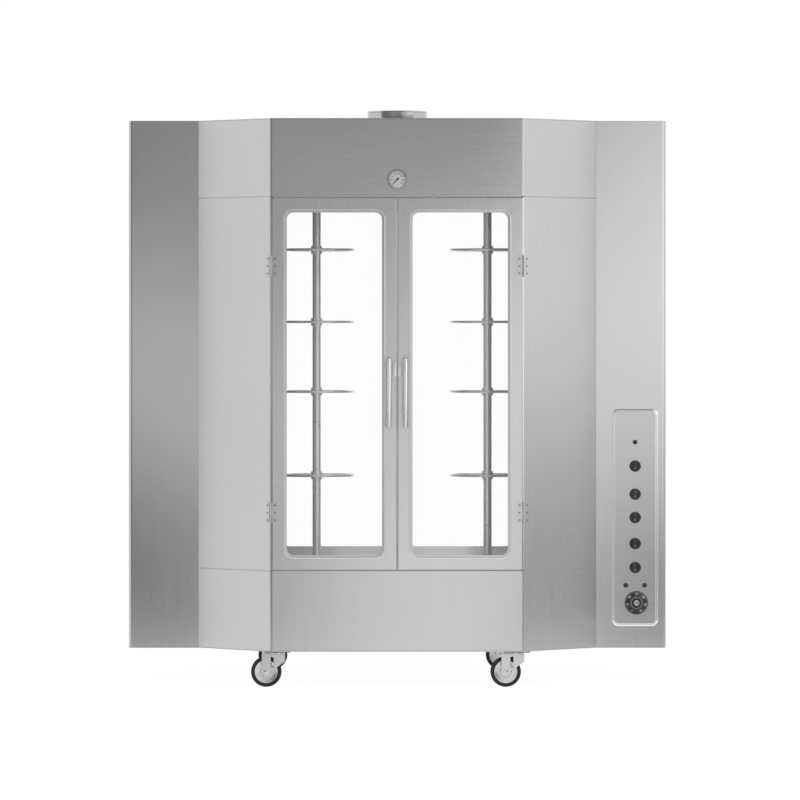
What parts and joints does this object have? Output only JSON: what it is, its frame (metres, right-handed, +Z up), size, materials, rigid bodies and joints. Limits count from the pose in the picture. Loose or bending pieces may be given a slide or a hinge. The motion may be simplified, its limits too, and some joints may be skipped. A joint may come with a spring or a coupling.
{
  "type": "duck roasting oven",
  "caption": "Bay-fronted stainless roasting oven with twin glazed doors, coupled hanging rotors, side columns, a control panel, a roof flue and swivel casters.",
  "frame": {"origin": "floor level under the centre of the oven's box", "axes": "+Z up, -Y out of the doors, +X to the control panel"},
  "size_m": [1.776, 1.194, 1.903],
  "materials": {
    "brushed_steel": "vertical brushed grain",
    "inner_steel": "satin mill finish",
    "polished_steel": "polished",
    "zinc_steel": "bright zinc plate",
    "dark_steel": "oiled",
    "grey_paint": "satin paint",
    "element_sheath": "oxidised sheath",
    "glass": "clear tempered",
    "black_plastic": "satin",
    "switch_plastic": "matte",
    "lamp_plastic": "gloss",
    "pointer_red": "gloss paint",
    "caster_tyre": "moulded"
  },
  "bodies": {
    "cabinet": {"base_frame": "brushed_steel", "cable_gland": "switch_plastic", "caster_plates": "zinc_steel", "ceiling_panel": "inner_steel", "control_plate": "brushed_steel", "drive_chain": "dark_steel", "floor_pan": "inner_steel", "flue_collar": "polished_steel", "front_apron": "brushed_steel", "front_header": "brushed_steel", "gauge_case": "polished_steel", "gauge_lens": "glass", "gearmotor": "grey_paint", "indicator_lamps": "lamp_plastic", "left_column": "brushed_steel", "left_diagonal_panels": "brushed_steel", "left_heating_element": "element_sheath", "left_hinge_fixed_leaves": "polished_steel", "rear_diagonal_panels": "brushed_steel", "rear_glass": "glass", "rear_panel": "brushed_steel", "right_column": "brushed_steel", "right_diagonal_panels": "brushed_steel", "right_heating_element": "element_sheath", "right_hinge_fixed_leaves": "polished_steel", "roof_panel": "brushed_steel", "rotor_bearings": "dark_steel", "side_walls": "inner_steel", "switch_bodies": "switch_plastic"},
    "left_door": {"left_door_frame": "brushed_steel", "left_door_glass": "glass", "left_window_bead": "polished_steel", "left_door_handle": "polished_steel", "left_hinge_door_leaves": "polished_steel"},
    "left_rotor": {"left_rotor_shaft": "polished_steel", "left_hanging_wheels": "polished_steel", "left_sprocket": "dark_steel"},
    "right_door": {"right_door_frame": "brushed_steel", "right_door_glass": "glass", "right_window_bead": "polished_steel", "right_door_handle": "polished_steel", "right_hinge_door_leaves": "polished_steel"},
    "right_rotor": {"right_rotor_shaft": "polished_steel", "right_hanging_wheels": "polished_steel", "right_sprocket": "dark_steel"},
    "knob_1": {"switch_knob_1": "black_plastic"},
    "knob_2": {"switch_knob_2": "black_plastic"},
    "knob_3": {"switch_knob_3": "black_plastic"},
    "knob_4": {"switch_knob_4": "black_plastic"},
    "knob_5": {"switch_knob_5": "black_plastic"},
    "thermostat": {"thermostat_dial": "black_plastic"},
    "pointer": {"gauge_pointer": "pointer_red"},
    "front_left_fork": {"front_left_caster_fork": "zinc_steel"},
    "front_left_wheel": {"front_left_caster_wheel": "caster_tyre"},
    "front_right_fork": {"front_right_caster_fork": "zinc_steel"},
    "front_right_wheel": {"front_right_caster_wheel": "caster_tyre"},
    "rear_left_fork": {"rear_left_caster_fork": "zinc_steel"},
    "rear_left_wheel": {"rear_left_caster_wheel": "caster_tyre"},
    "rear_right_fork": {"rear_right_caster_fork": "zinc_steel"},
    "rear_right_wheel": {"rear_right_caster_wheel": "caster_tyre"}
  },
  "joints": [
    {"name": "left_door_swing", "type": "hinge", "parent": "cabinet", "child": "left_door", "pos_m": [-0.4143, -0.55854, 1], "axis": [0, 0, -1], "range_deg": [0, 120]},
    {"name": "right_door_swing", "type": "hinge", "parent": "cabinet", "child": "right_door", "pos_m": [0.4143, -0.55854, 1], "axis": [0, 0, 1], "range_deg": [0, 120]},
    {"name": "left_rotor_turn", "type": "hinge", "parent": "cabinet", "child": "left_rotor", "pos_m": [-0.271, 0.022, 1], "axis": [0, 0, 1], "continuous": true},
    {"name": "right_rotor_turn", "type": "hinge", "parent": "cabinet", "child": "right_rotor", "pos_m": [0.303, 0.022, 1], "axis": [0, 0, 1], "continuous": true},
    {"name": "knob_1_turn", "type": "hinge", "parent": "cabinet", "child": "knob_1", "pos_m": [0.786, -0.308, 0.719], "axis": [0, 1, 0], "range_deg": [0, 90]},
    {"name": "knob_2_turn", "type": "hinge", "parent": "cabinet", "child": "knob_2", "pos_m": [0.786, -0.308, 0.626], "axis": [0, 1, 0], "range_deg": [0, 90]},
    {"name": "knob_3_turn", "type": "hinge", "parent": "cabinet", "child": "knob_3", "pos_m": [0.786, -0.308, 0.549], "axis": [0, 1, 0], "range_deg": [0, 90]},
    {"name": "knob_4_turn", "type": "hinge", "parent": "cabinet", "child": "knob_4", "pos_m": [0.786, -0.308, 0.463], "axis": [0, 1, 0], "range_deg": [0, 90]},
    {"name": "knob_5_turn", "type": "hinge", "parent": "cabinet", "child": "knob_5", "pos_m": [0.786, -0.308, 0.384], "axis": [0, 1, 0], "range_deg": [0, 90]},
    {"name": "thermostat_turn", "type": "hinge", "parent": "cabinet", "child": "thermostat", "pos_m": [0.79, -0.308, 0.2675], "axis": [0, 1, 0], "range_deg": [0, 300]},
    {"name": "pointer_sweep", "type": "hinge", "parent": "cabinet", "child": "pointer", "pos_m": [0, -0.553, 1.66], "axis": [0, 1, 0], "range_deg": [0, 270]},
    {"name": "front_left_swivel", "type": "hinge", "parent": "cabinet", "child": "front_left_fork", "pos_m": [-0.392, -0.483, 0.11], "axis": [0, 0, 1], "continuous": true},
    {"name": "front_left_roll", "type": "hinge", "parent": "front_left_fork", "child": "front_left_wheel", "pos_m": [-0.429, -0.483, 0.05], "axis": [0, 1, 0], "continuous": true},
    {"name": "front_right_swivel", "type": "hinge", "parent": "cabinet", "child": "front_right_fork", "pos_m": [0.392, -0.483, 0.11], "axis": [0, 0, 1], "continuous": true},
    {"name": "front_right_roll", "type": "hinge", "parent": "front_right_fork", "child": "front_right_wheel", "pos_m": [0.355, -0.483, 0.05], "axis": [0, 1, 0], "continuous": true},
    {"name": "rear_left_swivel", "type": "hinge", "parent": "cabinet", "child": "rear_left_fork", "pos_m": [-0.392, 0.527, 0.11], "axis": [0, 0, 1], "continuous": true},
    {"name": "rear_left_roll", "type": "hinge", "parent": "rear_left_fork", "child": "rear_left_wheel", "pos_m": [-0.429, 0.527, 0.05], "axis": [0, 1, 0], "continuous": true},
    {"name": "rear_right_swivel", "type": "hinge", "parent": "cabinet", "child": "rear_right_fork", "pos_m": [0.392, 0.527, 0.11], "axis": [0, 0, 1], "continuous": true},
    {"name": "rear_right_roll", "type": "hinge", "parent": "rear_right_fork", "child": "rear_right_wheel", "pos_m": [0.355, 0.527, 0.05], "axis": [0, 1, 0], "continuous": true}
  ],
  "couplings": [
    {"joint": "right_rotor_turn", "follows": "left_rotor_turn", "ratio": 1}
  ]
}
